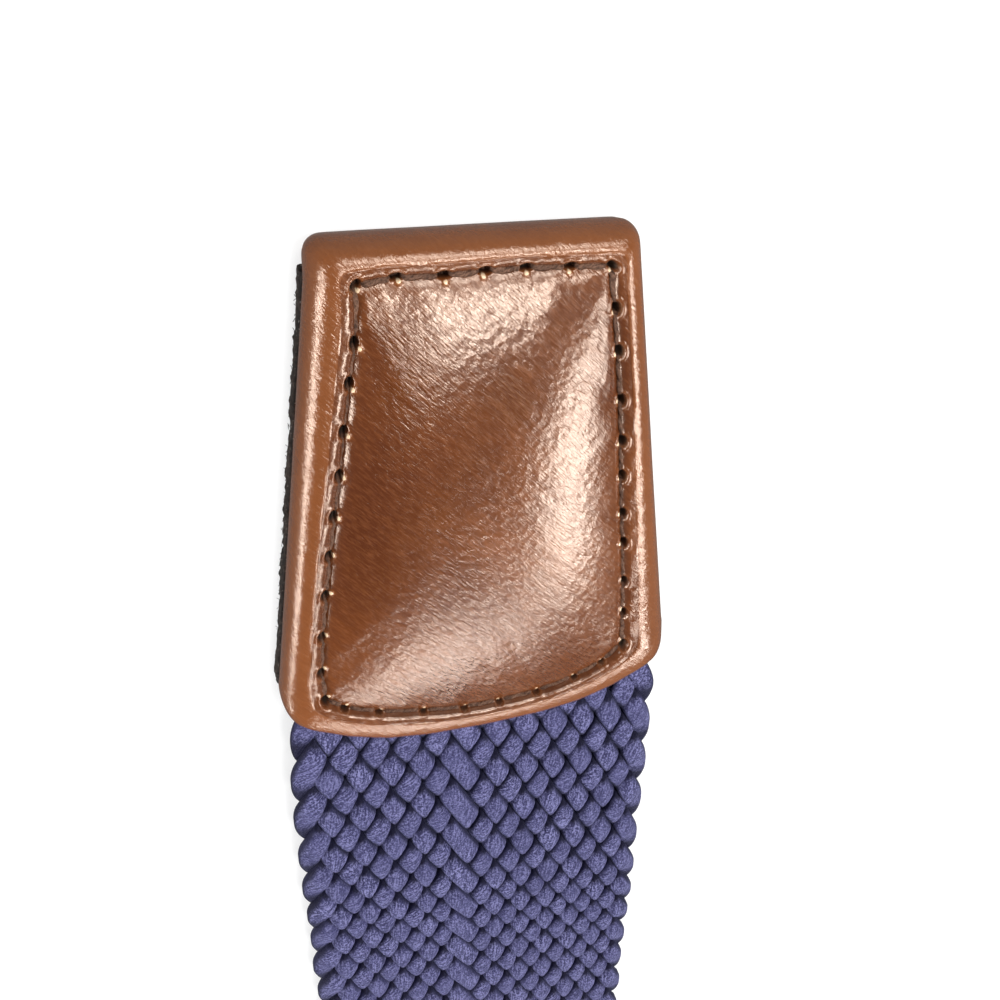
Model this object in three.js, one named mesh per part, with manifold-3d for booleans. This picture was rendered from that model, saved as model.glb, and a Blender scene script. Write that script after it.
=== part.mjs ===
// Braided belt, unfastened, lying on its back in one open bend.
// Millimetres, +Z up, the floor is z = 0. The tip lies at the right front and
// points along +X. The strap runs from it along -X, bends once towards +Y
// and ends in the buckle at the rear.
import * as THREE from 'three';
import { mergeVertices } from 'three/addons/utils/BufferGeometryUtils.js';
import Module from 'manifold-3d';

const wasm = await Module();
wasm.setup();

// ---------------------------------------------------------------- sizes
const GAP = 0.3;            // left between pieces that meet

const STRAP_HALF = 17.75;   // braided strap, half of its 35.5 mm width
const STRAP_THICK = 3.6;    // two cords thick
const RUN_FRONT = 120;      // straight from the tip end
const BEND_R = 260;         // centreline radius of the bend
const BEND_DEG = 150;       // how far the strap turns
const RUN_REAR = 205;       // straight from the bend to the buckle bar

const TIP_LEN = 42.75;      // tip leather, along the strap
const TIP_HALF = 11.7;      // half width at the tip end
const TIP_FLARE = 0.1575;   // growth of the half width per mm
const TIP_CORNER = 2.4;     // plan radius of the two tip corners
const TIP_BASE_CORNER = 3.4;
const TIP_SAG = 3.9;        // how far the base edge bows towards the strap
const RIM_TOP = 5.0;        // height of the rolled rim
const GROOVE_TOP = 4.3;     // height in the stitched groove
const PAD_TOP = 6.4;        // height of the padded middle
const RIM_W = 1.5;          // width over which the rim rolls down
const GROOVE_AT = 3.2;      // stitched groove, in from the edge
const BACK_THICK = 1.2;     // backing layer under the strap end
const FOLD_LEN = 2.0;       // leather turned down over the tip end

const CHAPE_LEN = 40;       // leather at the buckle, from the bar
const CHAPE_HALF = 18.4;
const LEATHER = 1.3;        // wall of the leather
const BAR_R = 1.6;
const BAR_Z = 3.2;
const FRAME_HALF = 24.5;    // buckle frame, half of its width
const FRAME_OUT = 31;       // from the bar to its outer end
const FRAME_W = 4.6;        // width of the frame's metal
const FRAME_H = 5.0;        // height of the frame's metal
const PRONG_W = 4.2;
const SLOT_HALF = 3.4;      // half of the slot for the prong

// base edge of the tip leather: across as a share of the half width,
// and how far it stands back from the foremost point as a share of TIP_SAG
const BASE_EDGE = [
  { across: 0.00, back: 0.00 },
  { across: 0.30, back: 0.04 },
  { across: 0.50, back: 0.16 },
  { across: 0.70, back: 0.42 },
  { across: 0.85, back: 0.72 },
  { across: 1.00, back: 1.15 },
];

// half width and height of the strap along its run, s from the tip end:
// low and high are its under and upper side at the edge, crown is what the
// middle of the upper side stands above the edge
const STRAP_ROWS = [
  { s: 5.0, half: 10.9, low: 1.5, high: 2.3, crown: 0.5 },
  { s: 10, half: 11.7, low: 1.5, high: 2.4, crown: 1.6 },
  { s: 20, half: 13.3, low: 1.5, high: 2.5, crown: 2.2 },
  { s: 32, half: 15.2, low: 1.5, high: 2.6, crown: 1.9 },
  { s: 39, half: 16.2, low: 1.5, high: 3.0, crown: 0.9 },
  { s: 44, half: 17.1, low: 1.45, high: 3.9, crown: 0.3 },
  { s: 50, half: 17.5, low: 0.7, high: 4.0, crown: 0.0 },
  { s: 60, half: STRAP_HALF, low: 0, high: STRAP_THICK, crown: 0 },
];

// ---------------------------------------------------------------- route
const RAD = Math.PI / 180;
const ARC_LEN = BEND_R * BEND_DEG * RAD;
const ROUTE_LEN = RUN_FRONT + ARC_LEN + RUN_REAR;

// point and direction of the centreline at s mm from the tip end
function route(s) {
  let x, y, a;
  if (s <= RUN_FRONT) { x = -s; y = 0; a = 0; } else {
    const arc = Math.min(s - RUN_FRONT, ARC_LEN);
    a = arc / BEND_R;
    x = -RUN_FRONT - BEND_R * Math.sin(a);
    y = BEND_R * (1 - Math.cos(a));
    const rest = s - RUN_FRONT - arc;
    x -= rest * Math.cos(a);
    y += rest * Math.sin(a);
  }
  return { x, y, tx: -Math.cos(a), ty: Math.sin(a) };
}
// s along, w across (+w is to the +Y side at the tip), z up
function place(s, w, z) {
  const r = route(s);
  return [r.x - w * -r.ty, r.y - w * r.tx, z];
}

// ---------------------------------------------------------------- helpers
const lerp = (a, b, t) => a + (b - a) * t;
const smooth = (t) => { const c = Math.min(1, Math.max(0, t)); return c * c * (3 - 2 * c); };
function table(rows, key, at, col) {
  if (at <= rows[0][key]) return rows[0][col];
  for (let i = 1; i < rows.length; i++) {
    if (at <= rows[i][key]) {
      return lerp(rows[i - 1][col], rows[i][col], (at - rows[i - 1][key]) / (rows[i][key] - rows[i - 1][key]));
    }
  }
  return rows[rows.length - 1][col];
}

// closed solid through rings of equal length, with a flat fan at each end
function loft(rings, map = (p) => p) {
  const n = rings[0].length, v = [], f = [];
  rings.forEach((r) => r.forEach((p) => v.push(...map(p))));
  for (let i = 0; i + 1 < rings.length; i++) {
    for (let j = 0; j < n; j++) {
      const a = i * n + j, b = i * n + (j + 1) % n, c = a + n, d = b + n;
      f.push(a, b, d, a, d, c);
    }
  }
  const cap = (r, base, flip) => {
    const m = r.reduce((q, p) => [q[0] + p[0] / n, q[1] + p[1] / n, q[2] + p[2] / n], [0, 0, 0]);
    const k = v.length / 3;
    v.push(...map(m));
    for (let j = 0; j < n; j++) {
      const a = base + j, b = base + (j + 1) % n;
      if (flip) f.push(k, b, a); else f.push(k, a, b);
    }
  };
  cap(rings[0], 0, true);
  cap(rings[rings.length - 1], (rings.length - 1) * n, false);
  const g = new THREE.BufferGeometry();
  g.setAttribute('position', new THREE.Float32BufferAttribute(v, 3));
  g.setIndex(f);
  return outward(g);
}
// turn the faces out if they face in
function outward(g) {
  const p = g.attributes.position, ix = g.index.array;
  let vol = 0;
  const a = new THREE.Vector3(), b = new THREE.Vector3(), c = new THREE.Vector3();
  for (let i = 0; i < ix.length; i += 3) {
    a.fromBufferAttribute(p, ix[i]); b.fromBufferAttribute(p, ix[i + 1]); c.fromBufferAttribute(p, ix[i + 2]);
    vol += a.dot(b.cross(c));
  }
  if (vol < 0) for (let i = 0; i < ix.length; i += 3) { const t = ix[i + 1]; ix[i + 1] = ix[i + 2]; ix[i + 2] = t; }
  return g;
}
function toManifold(geo) {
  const g = geo.clone();
  g.deleteAttribute('normal');
  g.deleteAttribute('uv');
  const m = mergeVertices(g, 1e-4);
  return new wasm.Manifold(new wasm.Mesh({
    numProp: 3,
    vertProperties: new Float32Array(m.attributes.position.array),
    triVerts: new Uint32Array(m.index.array),
  }));
}
function fromManifold(man) {
  const m = man.getMesh();
  const g = new THREE.BufferGeometry();
  g.setAttribute('position', new THREE.Float32BufferAttribute(Array.from(m.vertProperties), 3));
  g.setIndex(Array.from(m.triVerts));
  return g;
}
function boxAt(x0, x1, y0, y1, z0, z1) {
  const g = new THREE.BoxGeometry(x1 - x0, y1 - y0, z1 - z0);
  g.translate((x0 + x1) / 2, (y0 + y1) / 2, (z0 + z1) / 2);
  return g;
}

// ---------------------------------------------------------------- tip outline
// plan outline of the tip leather as [s, w], anticlockwise from the tip end
function tipOutline() {
  const pts = [];
  const half = (s) => TIP_HALF + TIP_FLARE * s;
  const arc = (cs, cw, r, a0, a1, n) => {
    for (let i = 0; i <= n; i++) {
      const a = lerp(a0, a1, i / n) * RAD;
      pts.push([cs + r * Math.cos(a), cw + r * Math.sin(a)]);
    }
  };
  const taper = Math.atan(TIP_FLARE) / RAD;
  const c = TIP_CORNER, b = TIP_BASE_CORNER;
  // middle of the tip end to its +w corner
  for (let i = 0; i < 4; i++) pts.push([0, (TIP_HALF - c) * i / 4]);
  arc(c, half(c) - c * 1.02, c, 180, 90 + taper, 5);
  const sSide = 36.2;
  for (let i = 1; i < 8; i++) { const s = lerp(c + 1, sSide, i / 8); pts.push([s, half(s)]); }
  const cs = sSide, cw = half(sSide) - b;
  arc(cs, cw, b, 90 + taper, 28, 5);
  // base edge
  const last = pts[pts.length - 1];
  const wEnd = last[1], sEnd = last[0];
  const sAt = (w) => TIP_LEN - TIP_SAG * table(BASE_EDGE, 'across', Math.abs(w) / half(sSide), 'back');
  const fix = sEnd - sAt(wEnd);
  for (let i = 1; i <= 7; i++) {
    const w = wEnd * (1 - i / 7);
    pts.push([sAt(w) + fix * smooth((w / wEnd - 0.6) / 0.4), w]);
  }
  // the other half mirrors it
  const m = pts.slice(1, -1).reverse().map(([s, w]) => [s, -w]);
  return pts.concat(m);
}
// how far the stitched groove stands in from the edge, as a share of GROOVE_AT
function grooveShare(s) {
  if (s < 2) return 0.85;
  return s < 34 ? lerp(1.0, 1.18, s / 34) : lerp(1.18, 0.6, smooth((s - 34) / 5));
}
// the outline moved in by d; even gives the same distance all round,
// otherwise the distance follows the groove
function inset(outline, d, even = true) {
  const n = outline.length, out = [];
  for (let i = 0; i < n; i++) {
    const a = outline[(i + n - 1) % n], b = outline[(i + 1) % n], p = outline[i];
    const t = [b[0] - a[0], b[1] - a[1]], l = Math.hypot(...t);
    const k = d * (even ? 1 : grooveShare(p[0]));
    out.push([p[0] + t[1] / l * k, p[1] - t[0] / l * k]);
  }
  return out;
}

// ---------------------------------------------------------------- strap
function strapRing(half, low, high, crown) {
  const r = Math.min(1.5, (high - low) / 2 - 0.02), n = 4, ring = [];
  for (let i = 0; i <= n; i++) {           // +w edge, upwards
    const a = lerp(-90, 90, i / n) * RAD;
    ring.push([half - r + r * Math.cos(a), (low + high) / 2 + ((high - low) / 2) * Math.sin(a)]);
  }
  for (const q of [0.72, 0.4, 0, -0.4, -0.72]) ring.push([q * half, high + crown * (1 - q * q)]);
  for (let i = 0; i <= n; i++) {
    const a = lerp(90, 270, i / n) * RAD;
    ring.push([-half + r + r * Math.cos(a), (low + high) / 2 + ((high - low) / 2) * Math.sin(a)]);
  }
  for (const q of [-0.5, 0, 0.5]) ring.push([q * half, low]);
  return ring;
}
function strapSolid(grow = 0, sEnds = null) {
  const end = ROUTE_LEN - 6;
  const rear = [
    { s: ROUTE_LEN - 58, half: STRAP_HALF, low: 0, high: STRAP_THICK, crown: 0 },
    { s: ROUTE_LEN - 46, half: 17.3, low: 1.0, high: 4.2, crown: 0 },
    { s: ROUTE_LEN - CHAPE_LEN - 1, half: 16.9, low: 1.7, high: 4.4, crown: 0 },
    { s: ROUTE_LEN - 30, half: 16.4, low: 1.7, high: 4.1, crown: 0.5 },
    { s: end - 3, half: 16.4, low: 1.7, high: 4.1, crown: 0.3 },
  ];
  let rows = STRAP_ROWS.map((r) => ({ ...r }));
  rows.push({ s: 90, half: STRAP_HALF, low: 0, high: STRAP_THICK, crown: 0 });
  for (let i = 0; i <= 30; i++) {
    rows.push({ s: RUN_FRONT + ARC_LEN * i / 30, half: STRAP_HALF, low: 0, high: STRAP_THICK, crown: 0 });
  }
  rows = rows.concat(rear);
  if (sEnds) rows = rows.filter((r) => r.s >= sEnds[0] && r.s <= sEnds[1]);
  rows = rows.map((r) => ({
    ...r, half: r.half + grow, low: r.low - grow, high: r.high + grow,
  }));
  if (grow) {
    rows[0] = { ...rows[0], s: rows[0].s - (sEnds ? 0 : grow) };
  }
  return rows;
}
function loftStrap(rows) {
  return loft(rows.map((r) => strapRing(r.half, r.low, r.high, r.crown).map(([w, z]) => [r.s, w, z])),
    ([s, w, z]) => place(s, w, z));
}

// ---------------------------------------------------------------- tip leather
const outline = tipOutline();
const centre = [21.5, 0];

function ringAt(d, z, t = 0, even = true) {
  return inset(outline, d, even).map(([s, w]) => [lerp(s, centre[0], t), lerp(w, centre[1], t), z]);
}
function tipLeather() {
  const rings = [];
  rings.push(ringAt(0.9, 0));
  rings.push(ringAt(0.35, 0.25));
  rings.push(ringAt(0.05, 1.1));
  rings.push(ringAt(0, 2.2));
  // rolled rim: a quarter ellipse from the side to the top
  for (const a of [30, 55, 75, 90]) {
    rings.push(ringAt(RIM_W * (1 - Math.cos(a * RAD)), lerp(2.2, RIM_TOP, Math.sin(a * RAD))));
  }
  rings.push(ringAt(GROOVE_AT, GROOVE_TOP, 0, false));
  rings.push(ringAt(GROOVE_AT, GROOVE_TOP + 0.6, 0.06, false));
  rings.push(ringAt(GROOVE_AT, lerp(GROOVE_TOP, PAD_TOP, 0.68), 0.17, false));
  rings.push(ringAt(GROOVE_AT, lerp(GROOVE_TOP, PAD_TOP, 0.9), 0.34, false));
  rings.push(ringAt(GROOVE_AT, lerp(GROOVE_TOP, PAD_TOP, 0.98), 0.58, false));
  rings.push(ringAt(GROOVE_AT, PAD_TOP, 0.85, false));
  let body = toManifold(loft(rings, ([s, w, z]) => place(s, w, z)));
  // the strap end's pocket
  const rows = strapSolid(GAP).filter((r) => r.s < 70);
  const pocket = toManifold(loftStrap(rows));
  // the backing's seat, open at both sides and at the base
  const seat = toManifold(boxAt(-60, -FOLD_LEN, -30, 30, -2, BACK_THICK + GAP));
  body = body.subtract(pocket).subtract(seat);
  return body;
}
function tipBacking() {
  const k = (p) => [Math.max(p[0], FOLD_LEN + GAP), p[1]];
  const o = inset(outline, 0.1).map(k);
  const i = inset(outline, 0.3).map(k);
  const at = (o2, z) => o2.map(([s, w]) => [s, w, z]);
  return loft([at(i, 0), at(o, 0.2), at(o, BACK_THICK - 0.2), at(i, BACK_THICK)], ([s, w, z]) => place(s, w, z));
}

// ---------------------------------------------------------------- buckle end
// local frame of the buckle: x from the bar along the strap's run, away from
// the strap; y across; placed at the end of the route
const endAt = route(ROUTE_LEN);
const endTurn = new THREE.Matrix4().makeBasis(
  new THREE.Vector3(endAt.tx, endAt.ty, 0),
  new THREE.Vector3(-endAt.ty, endAt.tx, 0),
  new THREE.Vector3(0, 0, 1),
).setPosition(endAt.x, endAt.y, 0);

function capsule2(r, x0, x1, zc, n) {     // stadium in x,z round a bar and back
  const pts = [];
  for (let i = 0; i <= n; i++) { const a = lerp(-90, 90, i / n) * RAD; pts.push([x1 + r * Math.cos(a), zc + r * Math.sin(a)]); }
  pts.push([x0, zc + r]);
  pts.push([x0, zc - r]);
  return pts;
}
function extrudeY(profile, y0, y1) {      // closed x,z profile, run across
  return loft([y0, y1].map((y) => profile.map(([x, z]) => [x, y, z])));
}
function buckleLeather() {
  const rOut = BAR_R + GAP + LEATHER, rIn = BAR_R + GAP;
  const top = BAR_Z + rOut;
  // outer form: plan outline with a bowed, round-cornered base edge
  const plan = [];
  const h = CHAPE_HALF, L = CHAPE_LEN, c = 3.2;
  plan.push([rOut - 1.4, 0]);
  plan.push([rOut - 1.4, h]);
  for (let i = 0; i <= 4; i++) { const a = lerp(90, 160, i / 4) * RAD; plan.push([-(L - 4.4 - c) + c * Math.cos(a), h - c + c * Math.sin(a)]); }
  for (const q of [0.7, 0.45, 0.2]) plan.push([-(L - 3.6 * q * q), q * h]);
  plan.push([-L, 0]);
  const full = plan.concat(plan.slice(1, -1).reverse().map(([x, y]) => [x, -y]));
  const sec = (d, z) => full.map(([x, y]) => [lerp(x, -16, d / 18), lerp(y, 0, d / 18), z]);
  const rings = [sec(0.7, 0), sec(0.05, 0.9), sec(0, 2.4), sec(0.35, 4.0), sec(1.4, 5.2), sec(2.6, 5.55), sec(3.6, 5.1), sec(5.6, 5.9), sec(9.5, top), sec(15, top + 0.15)];
  let body = toManifold(loft(rings));
  // turned round the bar
  const roll = [];
  for (let i = 0; i <= 8; i++) { const a = lerp(-90, 90, i / 8) * RAD; roll.push([rOut * Math.cos(a), BAR_Z + rOut * Math.sin(a)]); }
  roll.push([-5.5, top]);
  roll.push([-8.6, 5.5]);
  roll.push([-9.4, 0]);
  body = body.intersect(toManifold(boxAt(-60, 0, -40, 40, -5, 20)));
  body = body.add(toManifold(extrudeY(roll.map(([x, z]) => [x, Math.max(z, 0)]), -h + 0.4, h - 0.4)));
  // hollow for the bar, and the strap's pocket behind it
  const hollow = [];
  for (let i = 0; i <= 8; i++) { const a = lerp(-90, 90, i / 8) * RAD; hollow.push([rIn * Math.cos(a), BAR_Z + rIn * Math.sin(a)]); }
  hollow.push([-3.2, BAR_Z + rIn]);
  hollow.push([-3.2, BAR_Z - rIn]);
  body = body.subtract(toManifold(extrudeY(hollow, -h - 5, h + 5)));
  // slot for the prong
  body = body.subtract(toManifold(boxAt(-6.5, 12, -SLOT_HALF, SLOT_HALF, BAR_Z - 0.6, 20)));
  return body;
}
function buckleMetal() {
  // the frame is a U of one section, its two arms end beside the bar
  const path = [], n = 7, c = 7;
  const x0 = -2.2, x1 = FRAME_OUT - FRAME_W / 2, y1 = FRAME_HALF - FRAME_W / 2;
  path.push([x0, y1, 0.55], [x0 + 0.7, y1, 0.85], [x0 + 1.8, y1, 1]);
  for (let i = 0; i <= n; i++) { const a = (90 - 90 * i / n) * RAD; path.push([x1 - c + c * Math.cos(a), y1 - c + c * Math.sin(a), 1]); }
  for (let i = 0; i <= n; i++) { const a = (-90 * i / n) * RAD; path.push([x1 - c + c * Math.cos(a), -y1 + c + c * Math.sin(a), 1]); }
  path.push([x0 + 1.8, -y1, 1], [x0 + 0.7, -y1, 0.85], [x0, -y1, 0.55]);
  const m = path.length, k = 12, rings = [];
  for (let i = 0; i < m; i++) {
    const a = path[Math.max(i - 1, 0)], b = path[Math.min(i + 1, m - 1)];
    const t = [b[0] - a[0], b[1] - a[1]], l = Math.hypot(...t), nx = t[1] / l, ny = -t[0] / l;
    const ring = [];
    for (let j = 0; j < k; j++) {
      const q = (j + 0.5) / k * 2 * Math.PI, e = 0.62;
      const u = Math.sign(Math.cos(q)) * Math.abs(Math.cos(q)) ** e * FRAME_W / 2 * path[i][2];
      const z = FRAME_H / 2 + Math.sign(Math.sin(q)) * Math.abs(Math.sin(q)) ** e * FRAME_H / 2 * path[i][2];
      ring.push([path[i][0] + nx * u, path[i][1] + ny * u, z]);
    }
    rings.push(ring);
  }
  return toManifold(loft(rings));
}
// frame, bar and prong in one
function buckle() {
  let body = buckleMetal();
  const bar = new THREE.CylinderGeometry(BAR_R, BAR_R, 2 * (FRAME_HALF - FRAME_W / 2), 16, 1);
  bar.translate(0, 0, BAR_Z);
  body = body.add(toManifold(bar));
  // prong: an eye round the bar and a tongue that rests on the frame
  const P = PRONG_W / 2, top = FRAME_H + GAP * 0;
  const eye = new THREE.CylinderGeometry(BAR_R + 1.15, BAR_R + 1.15, PRONG_W, 18, 1);
  eye.translate(0, 0, BAR_Z);
  const cut = toManifold(boxAt(-6, 6, -10, 10, BAR_Z - 0.2, 12));
  body = body.add(toManifold(eye).intersect(cut));
  const spine = [
    { x: 0.2, z: BAR_Z + 1.2, r: 1.15 }, { x: 6, z: top + 0.75, r: 1.1 }, { x: 16, z: top + 1.1, r: 1.05 },
    { x: FRAME_OUT - 6, z: top + 1.05, r: 1.0 }, { x: FRAME_OUT - 2.5, z: top + 0.85, r: 0.95 }, { x: FRAME_OUT + 0.4, z: top + 0.35, r: 0.7 },
  ];
  const rings = spine.map(({ x, z, r }) => {
    const o = [];
    for (let j = 0; j < 12; j++) { const a = j / 12 * 2 * Math.PI; o.push([x, P * (r / 1.15) * Math.cos(a), z + r * Math.sin(a)]); }
    return o;
  });
  body = body.add(toManifold(loft(rings)));
  return body;
}

// ---------------------------------------------------------------- assembly
const mats = {
  braid: new THREE.MeshStandardMaterial({ color: 0x5b5c93, roughness: 0.85, metalness: 0 }),
  leather: new THREE.MeshStandardMaterial({ color: 0x8a4b28, roughness: 0.35, metalness: 0 }),
  backing: new THREE.MeshStandardMaterial({ color: 0x2b211d, roughness: 0.9, metalness: 0 }),
  metal: new THREE.MeshStandardMaterial({ color: 0xa9a6a0, roughness: 0.3, metalness: 1 }),
};
function mesh(name, geometry, material) {
  const g = geometry.index ? geometry : mergeVertices(geometry, 1e-4);
  g.computeVertexNormals();
  const m = new THREE.Mesh(g, material);
  m.name = name;
  return m;
}
const strapRows = strapSolid();
const belt = new THREE.Group();
belt.name = 'braided_belt';
belt.add(mesh('braid_strap', loftStrap(strapRows), mats.braid));
belt.add(mesh('tip_leather', fromManifold(tipLeather()), mats.leather));
belt.add(mesh('tip_backing', tipBacking(), mats.backing));

const rear = new THREE.Group();
rear.applyMatrix4(endTurn);
const strapIn = toManifold(loftStrap(strapSolid(GAP).filter((r) => r.s > ROUTE_LEN - 70)));
const inv = endTurn.clone().invert();
const chape = fromManifold(buckleLeather());
const chapeWorld = chape.clone().applyMatrix4(endTurn);
const chapeCut = fromManifold(toManifold(chapeWorld).subtract(strapIn)).applyMatrix4(inv);
rear.add(mesh('buckle_leather', chapeCut, mats.leather));
rear.add(mesh('buckle', fromManifold(buckle()), mats.metal));
belt.add(rear);

// origin under the middle of the belt's box, on the floor
belt.updateMatrixWorld(true);
const box = new THREE.Box3();
belt.traverse((o) => { if (o.isMesh) box.expandByObject(o, true); });
const whole = new THREE.Group();
whole.name = 'belt';
belt.position.set(-(box.min.x + box.max.x) / 2, -(box.min.y + box.max.y) / 2, -box.min.z);
whole.add(belt);
whole.updateMatrixWorld(true);
export default whole;
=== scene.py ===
"""Looks of a braided belt that lies unfastened on the floor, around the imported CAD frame.

Lengths in this script are millimetres until they reach a mesh, where they become metres.
s runs along the belt from the tip end, w across it (+w is the +Y side at the tip), z up.
"""

import math

import bpy
import numpy as np
from mathutils import Matrix, Vector


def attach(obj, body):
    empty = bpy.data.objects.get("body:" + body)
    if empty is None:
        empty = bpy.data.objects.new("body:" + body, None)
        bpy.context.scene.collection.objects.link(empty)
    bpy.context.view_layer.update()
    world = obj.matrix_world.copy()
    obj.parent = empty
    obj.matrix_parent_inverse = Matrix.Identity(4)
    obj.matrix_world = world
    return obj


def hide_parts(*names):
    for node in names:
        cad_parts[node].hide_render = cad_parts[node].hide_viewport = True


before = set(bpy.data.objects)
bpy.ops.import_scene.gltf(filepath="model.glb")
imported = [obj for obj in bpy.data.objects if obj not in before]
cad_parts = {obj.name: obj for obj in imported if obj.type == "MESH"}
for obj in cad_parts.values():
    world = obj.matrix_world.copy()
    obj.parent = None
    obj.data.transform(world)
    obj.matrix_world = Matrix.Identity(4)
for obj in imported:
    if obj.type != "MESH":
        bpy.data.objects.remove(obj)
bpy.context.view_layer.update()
scene = bpy.context.scene
rng = np.random.default_rng(11)
MM = 0.001

# ---------------------------------------------------------------- camera
cam_data = bpy.data.cameras.new("camera")
cam = bpy.data.objects.new("camera", cam_data)
scene.collection.objects.link(cam)
right = Vector((0.00812737, -0.95885486, 0.28378039))
up = Vector((0.87363704, -0.13126253, -0.46853865))
back = Vector((0.48651029, 0.25172905, 0.8366243))
cam.matrix_world = Matrix.Translation((0.211790, -0.285571, 0.061467)) @ Matrix((right, up, back)).transposed().to_4x4()
cam_data.lens = 31.746
cam_data.sensor_width = 36.0
cam_data.clip_start, cam_data.clip_end = 0.001, 20.0
scene.camera = cam
scene.view_settings.view_transform = "Standard"
scene.view_settings.look = "None"

# ---------------------------------------------------------------- route of the belt
TIP_X, TIP_Y = 198.875, -301.578
RUN, BEND_R, TURN, REAR = 120.0, 260.0, math.radians(150), 205.0
ARC = BEND_R * TURN
LENGTH = RUN + ARC + REAR


def place(s, w, z):
    s, w, z = np.broadcast_arrays(np.asarray(s, float), np.asarray(w, float), np.asarray(z, float))
    a = np.clip(s - RUN, 0, ARC) / BEND_R
    rest = np.clip(s - RUN - ARC, 0, None)
    x = -np.minimum(s, RUN) - BEND_R * np.sin(a) - rest * np.cos(a) + w * np.sin(a)
    y = BEND_R * (1 - np.cos(a)) + rest * np.sin(a) + w * np.cos(a)
    return np.stack([x + TIP_X, y + TIP_Y, z], -1)


END = place(LENGTH, 0.0, 0.0)
END_T = np.array([math.cos(math.radians(30)), math.sin(math.radians(30))])  # away from the strap


def buckle_place(x, y, z):
    """Buckle frame: x from the bar away from the strap, y across, to world millimetres."""
    x, y, z = np.broadcast_arrays(np.asarray(x, float), np.asarray(y, float), np.asarray(z, float))
    return np.stack([END[0] + x * END_T[0] - y * END_T[1], END[1] + x * END_T[1] + y * END_T[0], z], -1)


def smooth(t):
    t = np.clip(t, 0, 1)
    return t * t * (3 - 2 * t)


# ---------------------------------------------------------------- mesh helpers
def new_mesh(name, verts, quads=None, tris=None, uv=None, tint=None):
    """verts in mm; quads and tris index them; uv per corner (quads first); tint is a 0..1 colour per vertex."""
    verts = np.asarray(verts, float).reshape(-1, 3) * MM
    quads = np.zeros((0, 4), int) if quads is None else np.asarray(quads, int).reshape(-1, 4)
    tris = np.zeros((0, 3), int) if tris is None else np.asarray(tris, int).reshape(-1, 3)
    me = bpy.data.meshes.new(name)
    me.vertices.add(len(verts))
    me.vertices.foreach_set("co", verts.astype(np.float32).ravel())
    loops = np.concatenate([quads.ravel(), tris.ravel()]).astype(np.int32)
    me.loops.add(len(loops))
    me.loops.foreach_set("vertex_index", loops)
    starts = np.concatenate([np.arange(len(quads)) * 4, len(quads) * 4 + np.arange(len(tris)) * 3]).astype(np.int32)
    me.polygons.add(len(starts))
    me.polygons.foreach_set("loop_start", starts)
    me.polygons.foreach_set("use_smooth", np.ones(len(starts), bool))
    if uv is not None:
        layer = me.uv_layers.new(name="UVMap")
        full = np.zeros((len(loops), 2), np.float32)
        full[: len(uv)] = uv
        layer.data.foreach_set("uv", full.ravel())
    if tint is not None:
        col = me.color_attributes.new("tint", "FLOAT_COLOR", "POINT")
        rgba = np.ones((len(verts), 4), np.float32)
        rgba[:, :3] = np.asarray(tint, float).reshape(len(verts), -1)[:, :3]
        col.data.foreach_set("color", rgba.ravel())
    me.update()
    me.validate()
    ob = bpy.data.objects.new(name, me)
    scene.collection.objects.link(ob)
    return ob


def ring_faces(rows, n, base=0, close=True):
    i = np.arange(rows - 1)[:, None]
    j = np.arange(n if close else n - 1)[None, :]
    a = base + i * n + j
    b = base + i * n + (j + 1) % n
    return np.stack([a, b, b + n, a + n], -1).reshape(-1, 4)


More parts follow.
